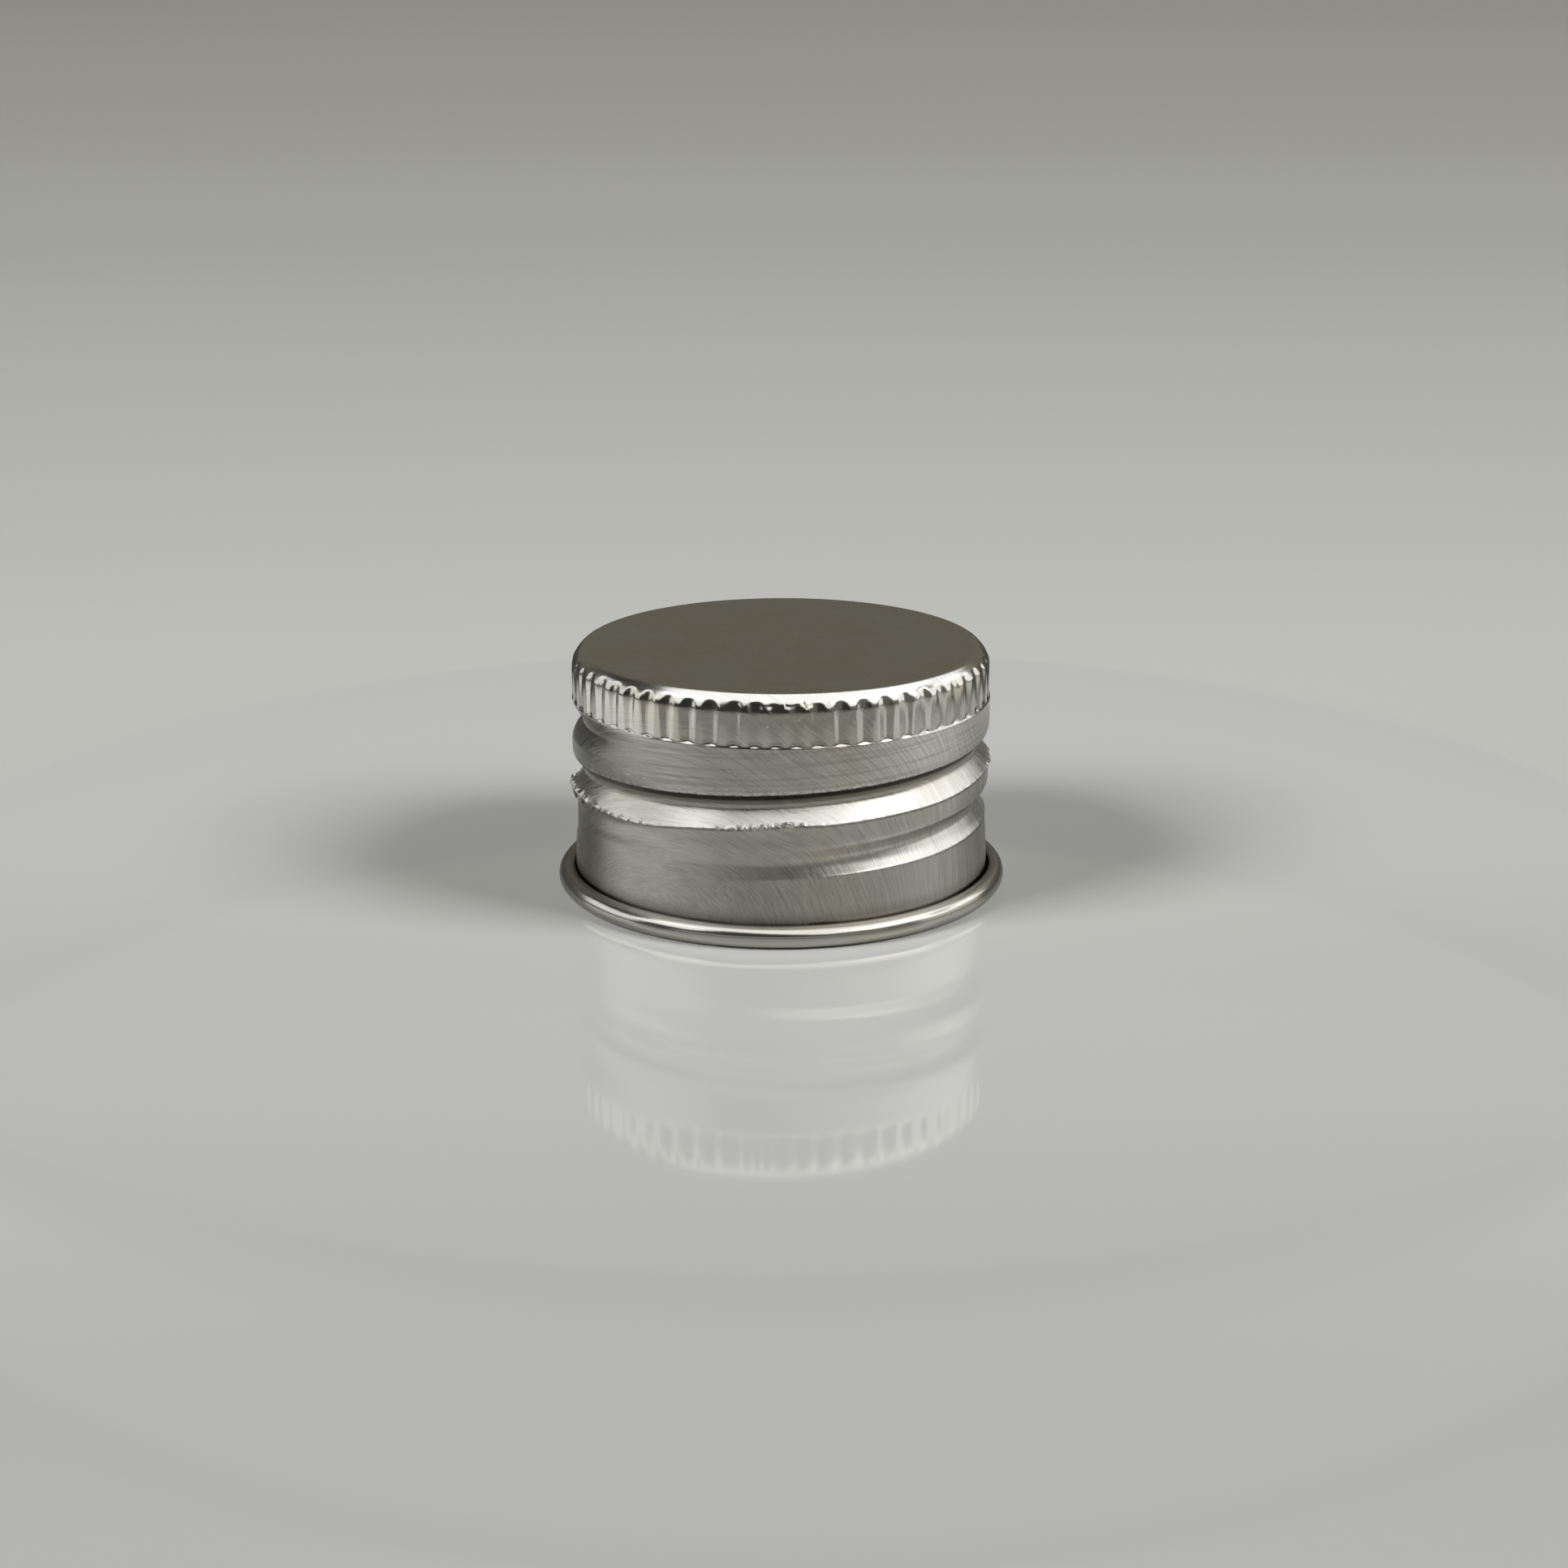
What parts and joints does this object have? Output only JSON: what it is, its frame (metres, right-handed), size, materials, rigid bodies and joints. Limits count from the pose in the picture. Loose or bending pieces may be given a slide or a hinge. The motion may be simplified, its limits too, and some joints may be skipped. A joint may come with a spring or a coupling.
{
  "type": "bottle cap",
  "caption": "Aluminium screw cap for a bottle, with a fluted grip band, a rolled thread, a curled mouth and a foam sealing liner.",
  "frame": {"origin": "on the cap's axis, in the plane of the mouth, at the height of the curl's lowest line", "axes": "+Z along the cap's axis from the mouth to the closed top, -Y towards the front, near which the thread's lower end is"},
  "size_m": [0.0264, 0.0264, 0.0144],
  "materials": {
    "brushed_aluminium": "bare rolled aluminium, satin with fine scratches",
    "liner_foam": "matt white polyethylene foam"
  },
  "bodies": {
    "root": {"shell": "brushed_aluminium", "liner": "liner_foam"}
  },
  "joints": []
}
